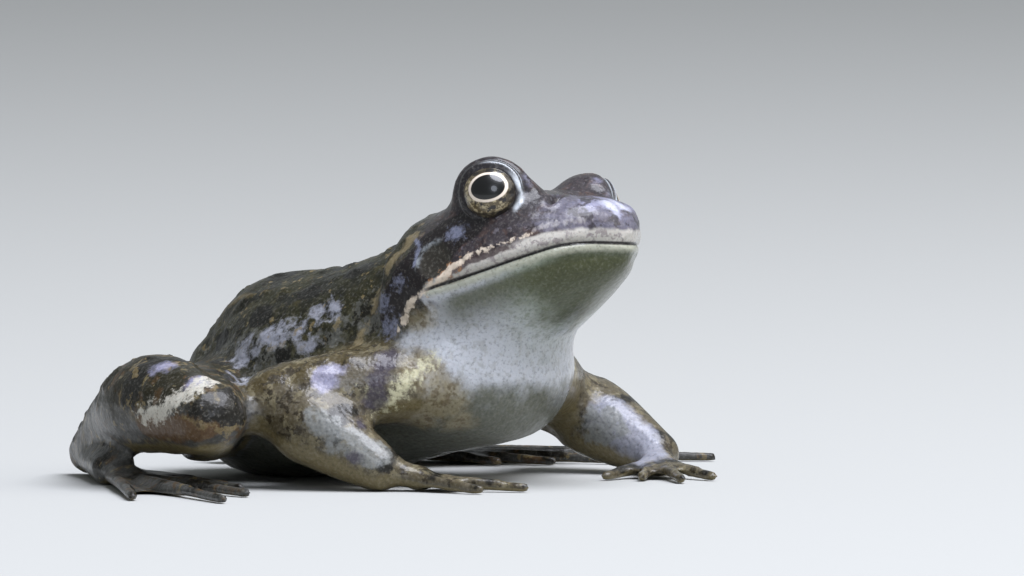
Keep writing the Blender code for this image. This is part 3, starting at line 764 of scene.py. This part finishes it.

# %% [markdown]
# Last come the painted lights and shades of the head: a painted lavender
# reflection on the wet snout with a painted highlight at its tip, painted
# highlights behind the eye, and painted olive shade under the chin.

# %% Painted sheen and shade of the snout and chin
# Painted highlights on the dark mask behind the eye, and a thin one behind the eardrum.
MASK_SHEEN = [(13.1, 24.4, 19.6, 0.9), (13.2, 23.2, 17.0, 1.0), (11.6, 15.9, 27.4, 0.9),
              (13.3, 21.9, 21.6, 0.5)]
keep("mask_sheen", patches(MASK_SHEEN)
     + bell(near_mark([(11.3, 21.9, 26.8), (12.5, 20.4, 25.8), (12.9, 20.1, 23.6)]), 0.35))
snout = smooth_step(-frog[:, 1], -11.0, -5.0) * smooth_step(frog[:, 2], 27.0, 28.5)
keep("snout", snout)
# A painted reflection of the sky light on the wet top of the snout.
SNOUT_SHEEN = [(0.8, 3.6, 31.2, 2.6), (3.8, 3.8, 31.2, 1.6), (6.8, 10.1, 33.6, 1.0)]
keep("snout_sheen", patches(SNOUT_SHEEN) * (head > 0.2))
# A painted highlight at the tip of the snout.
keep("snout_highlight", patches([(1.0, 2.7, 30.8, 1.1)]) * (head > 0.2))
# Painted shade: olive on the front of the throat, and in a band below the rim of the lower jaw.
keep("jaw_front_shade", chin * smooth_step(0.45 * (26.0 - frog[:, 2]) - frog[:, 1], -9.0, -2.5))
shade_reach = smooth_step(-frog[:, 1], -19.0, -15.0) * smooth_step(frog[:, 2], 12.0, 15.0)
keep("rim_shade", shade_reach * smooth_step(-above_mouth, 1.1, 2.0) * smooth_step(above_mouth, -6.5, -2.4))
print("shades of the head kept")

# %% [markdown]
# Wet frog skin is thin and smooth between its warts: a dull coloured layer under
# a clear film of slime. In the material the colours are laid one over the other
# like paint, each through a mask with a ragged edge, and a clear coat gives
# the film its shine.

# %% A material made of layers
class Paint:
    """A material built up in layers of colour."""

    def __init__(self, name):
        self.material = bpy.data.materials.new(name)
        self.material.use_nodes = True
        self.tree = self.material.node_tree
        self.shader = self.tree.nodes["Principled BSDF"]
        place = self.tree.nodes.new("ShaderNodeTexCoord")
        self.place = place.outputs["Object"]
        self.colour = None

    def set(self, **sockets):
        for name, value in sockets.items():
            self.shader.inputs[name.replace("_", " ")].default_value = value

    def value(self, name):
        made = self.tree.nodes.new("ShaderNodeAttribute")
        made.attribute_name = name
        return made.outputs["Fac"]

    def noise(self, size_mm, detail=2.0, rough=0.55, shift=0.0, stretch=(1.0, 1.0, 1.0)):
        """Noise from 0 to 1 in lumps of a given size."""
        moved = self.tree.nodes.new("ShaderNodeMapping")
        moved.inputs["Location"].default_value = (shift, shift * 0.7, -shift * 0.4)
        moved.inputs["Scale"].default_value = stretch
        self.tree.links.new(self.place, moved.inputs["Vector"])
        made = self.tree.nodes.new("ShaderNodeTexNoise")
        made.inputs["Scale"].default_value = 1000.0 / size_mm
        made.inputs["Detail"].default_value = detail
        made.inputs["Roughness"].default_value = rough
        self.tree.links.new(moved.outputs["Vector"], made.inputs["Vector"])
        return made.outputs["Fac"]

    def cells(self, size_mm):
        made = self.tree.nodes.new("ShaderNodeTexVoronoi")
        made.inputs["Scale"].default_value = 1000.0 / size_mm
        self.tree.links.new(self.place, made.inputs["Vector"])
        return made.outputs["Distance"]

    def math(self, kind, a, b=0.0, c=0.0):
        made = self.tree.nodes.new("ShaderNodeMath")
        made.operation = kind
        for socket, value in zip(made.inputs, (a, b, c)):
            if isinstance(value, (int, float)):
                socket.default_value = value
            else:
                self.tree.links.new(value, socket)
        return made.outputs[0]

    def between(self, value, low, high):
        """0 below low, 1 above high, smooth between."""
        made = self.tree.nodes.new("ShaderNodeMapRange")
        made.interpolation_type = "SMOOTHSTEP"
        self.tree.links.new(value, made.inputs["Value"])
        made.inputs["From Min"].default_value = low
        made.inputs["From Max"].default_value = high
        return made.outputs["Result"]

    def ragged(self, mask, lumps, strength, edge=0.12, cut=0.5):
        """A mask whose edge is broken up by noise; where the mask is empty nothing shows."""
        moved = self.math("MULTIPLY_ADD", lumps, strength, -0.5 * strength)
        broken = self.between(self.math("ADD", mask, moved), cut - edge, cut + edge)
        return self.math("MULTIPLY", broken, self.between(mask, 0.0, 0.16))

    def layer(self, colour, amount=None):
        if amount is None:
            self.colour = as_colour(colour)
            return
        made = self.tree.nodes.new("ShaderNodeMix")
        made.data_type = "RGBA"
        if isinstance(amount, (int, float)):
            made.inputs["Factor"].default_value = amount
        else:
            self.tree.links.new(amount, made.inputs["Factor"])
        self.join(made.inputs[6], self.colour)
        self.join(made.inputs[7], as_colour(colour))
        self.colour = made.outputs[2]

    def join(self, socket, value):
        if isinstance(value, tuple):
            socket.default_value = value
        else:
            self.tree.links.new(value, socket)

    def bumps(self, height, depth_mm, normal=None):
        made = self.tree.nodes.new("ShaderNodeBump")
        made.inputs["Strength"].default_value = 1.0
        made.inputs["Distance"].default_value = depth_mm * MM
        self.tree.links.new(height, made.inputs["Height"])
        if normal is not None:
            self.tree.links.new(normal, made.inputs["Normal"])
        return made.outputs["Normal"]


def as_colour(rgb):
    """A screen colour of 0 to 255 as the linear colour that a shader takes."""
    if not isinstance(rgb, tuple) or len(rgb) == 4:
        return rgb
    share = [c / 255.0 for c in rgb]
    return tuple(((c + 0.055) / 1.055) ** 2.4 if c > 0.04 else c / 12.92 for c in share) + (1.0,)


paint = Paint("frog_skin")
fine = paint.noise(0.7, 3.0)
middling = paint.noise(1.8, 3.0, shift=0.3)
coarse = paint.noise(4.5, 3.0, shift=0.7)
net = paint.noise(1.9, 5.0, 0.65, shift=1.3)
flecks = paint.noise(0.75, 4.0, 0.7, shift=3.7)
streaks = paint.noise(1.5, 4.0, 0.6, shift=5.2, stretch=(0.6, 0.6, 1.3))
ticks = paint.noise(0.8, 1.0, shift=9.0, stretch=(1.5, 1.5, 0.6))
dust = paint.noise(0.35, 2.0, 0.6, shift=11.0)


def spots_of(size, low, high, shift, detail=3.0):
    return paint.between(paint.noise(size, detail, 0.6, shift=shift), low, high)


def on(part, *shares):
    """The share of one part, cut down by each of the others."""
    total = paint.value(part) if isinstance(part, str) else part
    for share in shares:
        total = paint.math("MULTIPLY", total, share)
    return total


print("noises made for the skin")

# %% [markdown]
# The ground comes first: olive with darker clouds on the back, grey netting on
# the flanks, a pale belly with painted shade low down near the floor, and a
# green-grey throat with painted olive shade at its front and under the jaw's rim.

# %% Colours of back, flank, belly and throat
paint.layer((36, 35, 17))
paint.layer((21, 21, 11), paint.between(coarse, 0.42, 0.58))
paint.layer((64, 59, 34), on(paint.between(middling, 0.56, 0.66), 0.6))
paint.layer((92, 80, 50), on(paint.ragged(paint.value("back_fold"), middling, 1.0, 0.2, 0.5), 0.7))
paint.layer((84, 84, 78), on(paint.ragged(paint.value("flank"), net, 2.2, 0.1, 0.95), 0.9))
paint.layer((58, 56, 38), on("flank", spots_of(1.1, 0.5, 0.6, 1.7), 0.7))
paint.layer((24, 23, 14), on("flank", spots_of(1.7, 0.53, 0.6, 2.0)))
paint.layer((180, 183, 189), paint.ragged(paint.value("belly"), middling, 1.1, 0.25, 0.5))
paint.layer((134, 134, 128), on("belly", spots_of(0.8, 0.5, 0.64, 3.0), 0.4))
# Painted shade on the belly low down.
paint.layer((58, 60, 27), on(paint.ragged(paint.value("low_belly_shade"), middling, 0.9, 0.45, 0.5), 0.85))
paint.layer((126, 138, 114), on("chin", 0.85))
paint.layer((92, 104, 76), on("chin", spots_of(0.9, 0.5, 0.62, 5.0), 0.7))
paint.layer((96, 104, 84), on("chin", spots_of(3.2, 0.5, 0.66, 5.7), 0.55))
# Painted shade under the front of the jaw and below its rim.
paint.layer((48, 54, 20), on(paint.ragged(paint.value("jaw_front_shade"), coarse, 0.7, 0.3, 0.5), 0.85))
paint.layer((62, 66, 34), on("rim_shade", 0.85))

# %% [markdown]
# The head is a darker, purplish brown and the snout slate grey; on the wet snout
# lies a painted lavender reflection of the sky light, with a painted highlight at its tip.

# %% Colours of the head
paint.layer((56, 50, 54), on(paint.ragged(paint.value("head"), middling, 0.9, 0.35, 0.5), 0.92))
paint.layer((78, 58, 50), on("head", spots_of(1.6, 0.5, 0.62, 5.5), 0.55))
paint.layer((104, 102, 116), on(paint.ragged(paint.value("snout"), streaks, 2.4, 0.35, 0.7), 0.8))
# Painted reflection on the snout.
paint.layer((142, 142, 166), on(paint.ragged(paint.value("snout_sheen"), streaks, 3.2, 0.45, 0.95), 0.75))
paint.layer((34, 28, 32), on("head", spots_of(2.1, 0.54, 0.62, 6.0), 0.8))
# Painted highlight at the snout's tip.
paint.layer((204, 206, 222), on(paint.ragged(paint.value("snout_highlight"), streaks, 1.8, 0.4, 0.6), 0.75))
paint.layer((134, 130, 140), on("head", spots_of(0.8, 0.6, 0.67, 6.5), 0.3))
paint.layer((30, 26, 28), on("head", spots_of(0.7, 0.62, 0.68, 6.9), 0.6))

# %% [markdown]
# Legs and arms get their own ground, then tan-edged dark bars, and over those the
# pale patches. The order is the order of the layers on the skin, so that a patch
# hides the bar beneath it.

# %% Colours and patches of the limbs
paint.layer((33, 30, 15), on("legs", 0.92))
paint.layer((74, 54, 27), on("legs", spots_of(2.0, 0.52, 0.66, 8.0), 0.8))
paint.layer((124, 114, 84), on("legs", spots_of(1.6, 0.64, 0.7, 8.7), 0.6))
paint.layer((84, 60, 32), on(paint.ragged(paint.value("red_leg"), middling, 1.0, 0.2, 0.5), 0.85))
paint.layer((72, 62, 36), on("arms", 0.92))
paint.layer((112, 104, 80), on("arms", spots_of(1.6, 0.52, 0.6, 7.0), 0.75))
paint.layer((40, 33, 20), on("arms", spots_of(1.3, 0.54, 0.6, 7.7), 0.85))
# Pale flank marbling, partly a painted highlight.
paint.layer((140, 142, 152), on(paint.ragged(paint.value("flank_pale_and_sheen"), net, 3.6, 0.35, 0.8), 0.85))
bar_edge = paint.math("SUBTRACT", paint.ragged(paint.value("bars"), middling, 1.2, 0.1, 0.52),
                      paint.ragged(paint.value("bars"), middling, 1.2, 0.1, 0.66))
paint.layer((118, 104, 70), on("leg_edges", bar_edge, spots_of(1.1, 0.42, 0.56, 8.9), 0.8))
paint.layer((20, 18, 12), paint.ragged(paint.value("bars"), middling, 1.2, 0.14, 0.68))
paint.layer((116, 102, 70), on("matt", spots_of(1.6, 0.6, 0.66, 9.9), 0.75))
paint.layer((136, 126, 98), on(paint.ragged(paint.value("warm_chest"), middling, 1.6, 0.5, 0.6), 0.75))
paint.layer((84, 70, 44), on("warm_chest", spots_of(1.0, 0.5, 0.6, 9.4), 0.7))
paint.layer((104, 94, 64), paint.ragged(paint.value("limb_under"), middling, 0.8, 0.25, 0.72))
# Pale far arm, partly a painted reflection.
paint.layer((146, 148, 160), on(paint.ragged(paint.value("far_arm_pale_and_sheen"), middling, 1.4, 0.35, 0.5), 0.85))
# Pale forearm tops, partly a painted highlight.
paint.layer((122, 124, 122), on(paint.ragged(paint.value("forearm_pale_and_sheen"), net, 2.6, 0.3, 0.7), 0.85))
# Painted reflections of the sky light.
paint.layer((146, 145, 170), on(paint.ragged(paint.value("lavender_sheen"), net, 2.0, 0.35, 0.52), 0.75))
# Cream band and mottles of the knee, with one painted highlight on its top.
paint.layer((188, 184, 172), on(paint.ragged(paint.value("cream"), flecks, 3.0, 0.3, 0.68), 0.9))
paint.layer((206, 202, 168), on(paint.ragged(paint.value("yellow"), flecks, 3.0, 0.4, 0.66), 0.8))
paint.layer((60, 54, 66), on(paint.ragged(paint.value("arm_bar"), net, 2.0, 0.3, 0.58), 0.85))

# %% [markdown]
# The marks that make the face a common frog's are laid last and have the
# sharpest edges: mask, ridge, lips, lids and the line of the mouth. Painted
# highlights lie on the mask, the rear of the eardrum's rim, the brow and the
# front of the lids.

# %% Blotches and the marks of the face
paint.layer((16, 15, 10), paint.ragged(paint.value("blotch"), middling, 0.8, 0.08, 0.5))
paint.layer((24, 19, 20), paint.ragged(paint.value("mask"), middling, 0.9, 0.1, 0.52))
# Painted highlights on the mask.
paint.layer((118, 122, 142), on(paint.ragged(paint.value("mask_sheen"), flecks, 2.2, 0.35, 0.52), 0.85))
paint.layer((122, 110, 82), on(paint.ragged(paint.value("fold_line"), middling, 3.0, 0.3, 0.66), 0.8))
paint.layer((48, 45, 38), on("eardrum", 0.8))
# Painted highlight on the eardrum's rim.
paint.layer((142, 148, 152), on("ear_rim_highlight", paint.between(fine, 0.35, 0.6), 0.85))
# Pale brow line, partly a painted highlight.
paint.layer((150, 152, 168), on("brow_line_and_highlight", 0.5))
paint.layer((30, 28, 30), on("lids", 0.9))
# Painted highlights on the front of the lids.
paint.layer((214, 220, 226), on("lid_highlight", 0.95))
paint.layer((184, 180, 172), on(paint.ragged(paint.value("lip"), middling, 1.5, 0.35, 0.5), 0.92))
paint.layer((104, 92, 98), on("lip", spots_of(0.9, 0.5, 0.62, 4.0), 0.6))
paint.layer((172, 168, 168), on(paint.ragged(paint.value("lip_spots"), ticks, 1.6, 0.3, 0.85), 0.6))
paint.layer((58, 42, 44), on(paint.ragged(paint.value("ridge_shade"), fine, 1.0, 0.2, 0.5), 0.85))
paint.layer((150, 110, 76), on(paint.ragged(paint.value("ridge_lumps"), fine, 2.6, 0.2, 0.7), 0.9))
paint.layer((206, 192, 174), on(paint.ragged(paint.value("ridge"), fine, 2.0, 0.2, 0.6), 0.95))
paint.layer((20, 16, 20), paint.value("face_marks"))
paint.layer((168, 169, 152), on(paint.ragged(paint.value("rim"), middling, 0.8, 0.35, 0.5), 0.85))
from_mouth = paint.math("ABSOLUTE", paint.math("SUBTRACT", paint.value("above_mouth"), 0.5))
paint.layer((24, 21, 19), on("mouth", paint.between(from_mouth, 0.28 / MOUTH_SPAN, 0.08 / MOUTH_SPAN)))

# %% [markdown]
# A wet skin shines through its film, not through its colour, so the colour layer
# is dull and a clear coat lies over it. The coat has smaller bumps than the skin
# below, and it is thinner on the back and legs, which are drier.

# %% Grain, film and the finished skin
paint.layer((18, 16, 12), on(paint.between(dust, 0.5, 0.72), 0.3))
paint.layer((196, 192, 182), on(paint.between(dust, 0.5, 0.28), 0.08))
paint.join(paint.shader.inputs["Base Color"], paint.colour)
paint.set(Roughness=0.5, IOR=1.4, Specular_IOR_Level=0.25, Coat_Roughness=0.17, Coat_IOR=1.34)
paint.join(paint.shader.inputs["Coat Weight"], paint.math("MULTIPLY_ADD", paint.value("matt"), -0.4, 0.85))
paint.set(Subsurface_Weight=0.06, Subsurface_Radius=(0.6, 0.35, 0.25), Subsurface_Scale=0.001)
calmer = paint.math("SUBTRACT", 1.0, on("head", 0.55))
film = paint.bumps(paint.math("MULTIPLY", paint.noise(1.3, 3.0), calmer), 0.05)
film = paint.bumps(paint.math("MULTIPLY", paint.cells(0.5), calmer), -0.03, film)
grain = paint.bumps(paint.math("MULTIPLY", paint.cells(0.95), calmer), -0.08, film)
paint.join(paint.shader.inputs["Normal"], grain)
paint.tree.links.new(film, paint.shader.inputs["Coat Normal"])
skin.data.materials.clear()
skin.data.materials.append(paint.material)
bpy.ops.object.select_all(action="DESELECT")
bpy.context.view_layer.objects.active = skin
skin.select_set(True)
bpy.ops.object.shade_smooth()
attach(skin, "root")
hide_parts(*FLESH)
print("skin faces:", len(skin.data.polygons))

# %% [markdown]
# The eye is a wet ball with a black pupil, oval and level, ringed by a thin pale
# line. Round it lies an iris of dark brown flecked with gold. The colours are
# laid by the angle from the direction of gaze, which each ball carries.

# %% An eyeball and its angles
PUPIL_TURN = math.radians(65.0)
PUPIL_LIFT = math.radians(13.0)
PUPIL_ROLL = math.radians(13.0)
PUPIL_HALF_WIDTH = 33.0
PUPIL_HALF_HEIGHT = 23.5
CORNEA = 0.1


def make_eye(side, centre):
    """An eyeball with a bulging cornea, in row coordinates; side is 1 on the left."""
    bpy.ops.mesh.primitive_uv_sphere_add(segments=96, ring_count=64, radius=EYE_R * MM)
    eye = bpy.context.object
    eye.name = "eye_ball_" + ("left" if side > 0 else "right")
    out, forward, up = gaze_axes(PUPIL_TURN, PUPIL_LIFT)
    rolled = forward * math.cos(PUPIL_ROLL) + up * math.sin(PUPIL_ROLL)
    up = up * math.cos(PUPIL_ROLL) - forward * math.sin(PUPIL_ROLL)
    axes = [np.array(tilted_way(way * (side, 1.0, 1.0))) for way in (out, rolled, up)]
    places = vertex_places(eye)
    ways = places / np.linalg.norm(places, axis=1)[:, None]
    ways = np.stack([ways[:, 2], ways[:, 0], ways[:, 1]], axis=1) @ np.stack(axes)
    across, high = eye_angles(ways, axes)
    bulge = CORNEA * smooth_step(-np.hypot(across, high), -62.0, -20.0)
    put_places(eye, (ways * (EYE_R - 0.04 + bulge)[:, None] + centre) * MM)
    for name, values in (("across", across), ("high", high)):
        made = eye.data.attributes.new(name, "FLOAT", "POINT")
        made.data.foreach_set("value", values.astype(np.float32))
    if side > 0:
        bpy.ops.object.mode_set(mode="EDIT")
        bpy.ops.mesh.select_all(action="SELECT")
        bpy.ops.mesh.normals_make_consistent(inside=False)
        bpy.ops.object.mode_set(mode="OBJECT")
    bpy.ops.object.shade_smooth()
    return eye

# %% [markdown]
# Inside an oval of 1 all is pupil, round it runs the pale ring, and past that the
# iris is gold below and dark above and toward the muzzle, where the lid shades it.

# %% Iris, pupil and both eyes
iris = Paint("frog_eye")
across, high = iris.value("across"), iris.value("high")
wide = iris.math("DIVIDE", across, PUPIL_HALF_WIDTH)
tall = iris.math("DIVIDE", high, PUPIL_HALF_HEIGHT)
squares = iris.math("ADD", iris.math("MULTIPLY", wide, wide), iris.math("MULTIPLY", tall, tall))
oval = iris.math("SQRT", squares)
wobble = iris.math("MULTIPLY_ADD", iris.noise(1.4, 2.0), 0.12, -0.06)
oval_rough = iris.math("ADD", oval, wobble)
gold = iris.between(iris.noise(0.55, 3.0, 0.65), 0.46, 0.62)
iris.layer((88, 76, 52))
iris.layer((176, 162, 128), gold)
iris.layer((30, 24, 19), iris.between(iris.noise(0.9, 2.0, shift=2.0), 0.52, 0.6))
iris.layer((24, 20, 17), iris.math("MULTIPLY", iris.between(across, 20.0, 46.0), 0.85))
iris.layer((24, 20, 17), iris.math("MULTIPLY", iris.between(oval_rough, 2.05, 2.3), 0.8))
iris.layer((22, 19, 17), iris.math("MULTIPLY", iris.between(high, 24.0, 36.0), 0.8))
iris.layer((230, 216, 200), iris.between(oval_rough, 1.29, 1.2))
iris.layer((8, 8, 9), iris.between(oval, 1.06, 1.0))
iris.join(iris.shader.inputs["Base Color"], iris.colour)
iris.set(Roughness=0.3, IOR=1.38, Coat_Weight=1.0, Coat_Roughness=0.02, Coat_IOR=1.4)
for side, centre, node in ((1.0, eye_left, "eye_left"), (-1.0, eye_right, "eye_right")):
    eye = make_eye(side, centre)
    eye.data.materials.append(iris.material)
    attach(eye, "root")
    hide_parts(node)
print("eyes made")

# %% [markdown]
# A plain studio: a wide pale floor, a broad soft light overhead that gives the
# wet skin its cool sheen, and a gentler one from the front.

# %% Floor and lights
FLOOR_HALF = 6.0
bpy.ops.mesh.primitive_plane_add(size=FLOOR_HALF * 2.0, location=(0.0, 0.0, -0.00002))
floor = bpy.context.object
floor.name = "floor"
floor_paint = Paint("floor")
floor_paint.join(floor_paint.shader.inputs["Base Color"], as_colour((172, 173, 170)))
floor_paint.set(Roughness=0.8)
floor.data.materials.append(floor_paint.material)
floor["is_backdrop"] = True


def add_light(name, azimuth, lift, distance, size, power, colour):
    data = bpy.data.lights.new(name, "AREA")
    data.shape = "DISK"
    data.size = size
    data.energy = power
    data.color = colour
    lamp = bpy.data.objects.new(name, data)
    a, e = math.radians(azimuth), math.radians(lift)
    way = Vector((math.sin(a) * math.cos(e), -math.cos(a) * math.cos(e), math.sin(e)))
    aim = Vector((0.0, 0.0, 0.018))
    lamp.location = aim + way * distance
    lamp.rotation_mode = "QUATERNION"
    lamp.rotation_quaternion = way.to_track_quat("Z", "Y")
    bpy.context.scene.collection.objects.link(lamp)


add_light("sky", 0.0, 68.0, 1.6, 1.4, 54.0, (0.88, 0.9, 1.0))
add_light("front", 25.0, 35.0, 1.6, 1.2, 7.0, (1.0, 0.97, 0.93))
add_light("window", -47.0, 22.0, 1.3, 0.5, 3.0, (0.8, 0.86, 1.0))
world = bpy.data.worlds.new("studio")
world.use_nodes = True
world.node_tree.nodes["Background"].inputs["Color"].default_value = (0.72, 0.76, 0.78, 1.0)
world.node_tree.nodes["Background"].inputs["Strength"].default_value = 0.4
bpy.context.scene.world = world
bpy.context.scene.view_settings.view_transform = "Standard"

# %% [markdown]
# The camera stands low, a little above the floor, ahead and to the frog's right,
# with a long lens.

# %% Camera
VIEW_TURN = math.radians(-55.0)
VIEW_LIFT = math.radians(3.0)
VIEW_DISTANCE = 2.5
FIELD_WIDTH = 0.11253
AIM_RIGHT, AIM_UP, AIM_BACK = 14.87, 20.9, 34.4

back = Vector((math.sin(VIEW_TURN) * math.cos(VIEW_LIFT), -math.cos(VIEW_TURN) * math.cos(VIEW_LIFT),
               math.sin(VIEW_LIFT)))
right = Vector((math.cos(VIEW_TURN), math.sin(VIEW_TURN), 0.0))
up = back.cross(right)
aim = (right * AIM_RIGHT + up * AIM_UP + Vector((0.0, muzzle_y + AIM_BACK, 0.0))) * MM
camera_data = bpy.data.cameras.new("camera")
camera_data.lens = camera_data.sensor_width * VIEW_DISTANCE / FIELD_WIDTH
camera_data.clip_start = 0.01
camera = bpy.data.objects.new("camera", camera_data)
camera.location = aim + back * VIEW_DISTANCE
camera.rotation_mode = "QUATERNION"
camera.rotation_quaternion = back.to_track_quat("Z", "Y")
bpy.context.scene.collection.objects.link(camera)
bpy.context.scene.camera = camera
print("camera height %.0f mm, lens %.0f mm" % (camera.location.z / MM, camera_data.lens))

# %% [markdown]
# The finished model is meant to stay inside the box of the imported solids; its
# size, without the floor, is printed.

# %% Finish
low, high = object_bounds()
print("size mm:", [round(v / MM, 1) for v in high - low])
